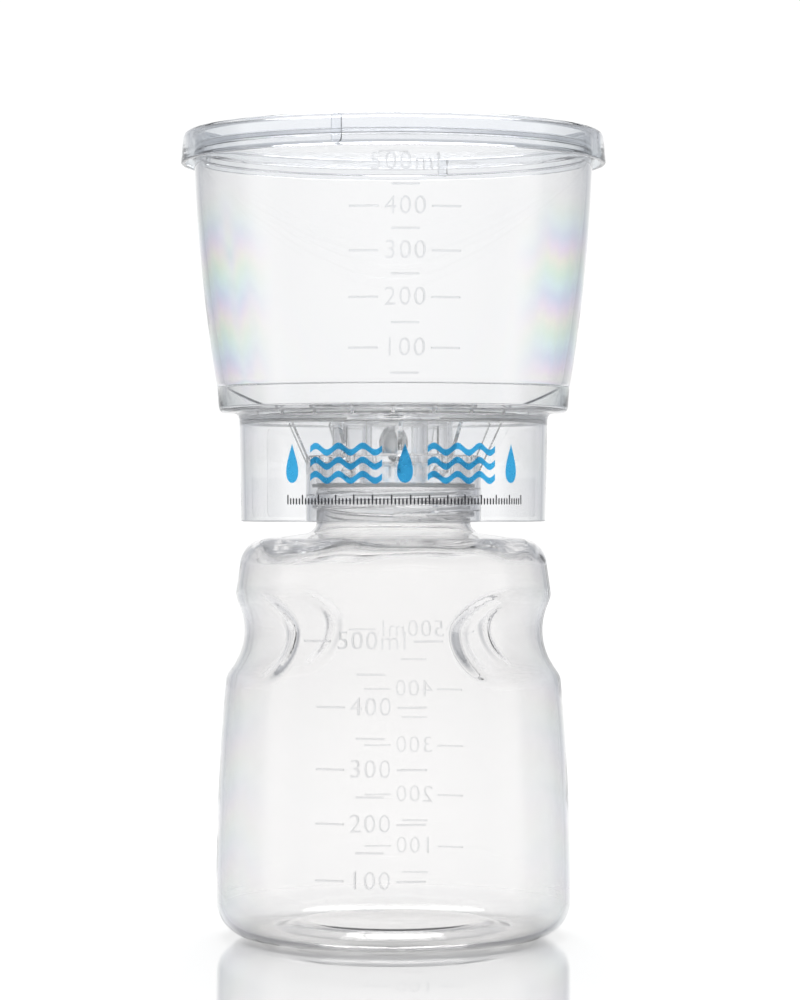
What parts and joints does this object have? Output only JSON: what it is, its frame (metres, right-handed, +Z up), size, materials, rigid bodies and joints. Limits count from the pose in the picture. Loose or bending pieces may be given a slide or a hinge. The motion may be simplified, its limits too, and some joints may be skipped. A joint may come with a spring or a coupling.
{
  "type": "vacuum filtration unit",
  "caption": "Clear bench filtration unit: lidded funnel with membrane, filter base with a barbed vacuum port, screwed onto a receiver bottle with thumb hollows.",
  "frame": {"origin": "centre of the bottle's base, on the surface that the unit stands on", "axes": "+Z up along the unit's axis, -Y towards the front with the graduations and the large label, +Y towards the vacuum port"},
  "size_m": [0.1162, 0.1162, 0.2194],
  "materials": {
    "clear_styrene": "clear polished moulding",
    "membrane": "matt porous white",
    "gasket": "translucent silicone",
    "connector": "translucent moulding",
    "cotton": "loose white fibre",
    "label_film": "clear film with blue and dark marks"
  },
  "bodies": {
    "bottle": {"bottle": "clear_styrene"},
    "seal": {"neck_gasket": "gasket"},
    "head": {"filter_base": "clear_styrene", "hose_connector": "connector", "air_filter_plug": "cotton", "membrane": "membrane", "funnel": "clear_styrene", "front_label": "label_film", "back_label": "label_film"},
    "lid": {"lid": "clear_styrene"}
  },
  "joints": [
    {"name": "head_rise", "type": "slide", "parent": "bottle", "child": "seal", "axis": [0, 0, 1], "range_m": [0, 0.00501]},
    {"name": "head_turn", "type": "hinge", "parent": "seal", "child": "head", "pos_m": [0, 0, 0.1231], "axis": [0, 0, 1], "range_deg": [0, 450]},
    {"name": "lid_lift", "type": "slide", "parent": "head", "child": "lid", "axis": [0, 0, 1], "range_m": [0, 0.05]}
  ],
  "couplings": [
    {"joint": "head_rise", "follows": "head_turn", "m_per_rad": 0.00063662}
  ]
}
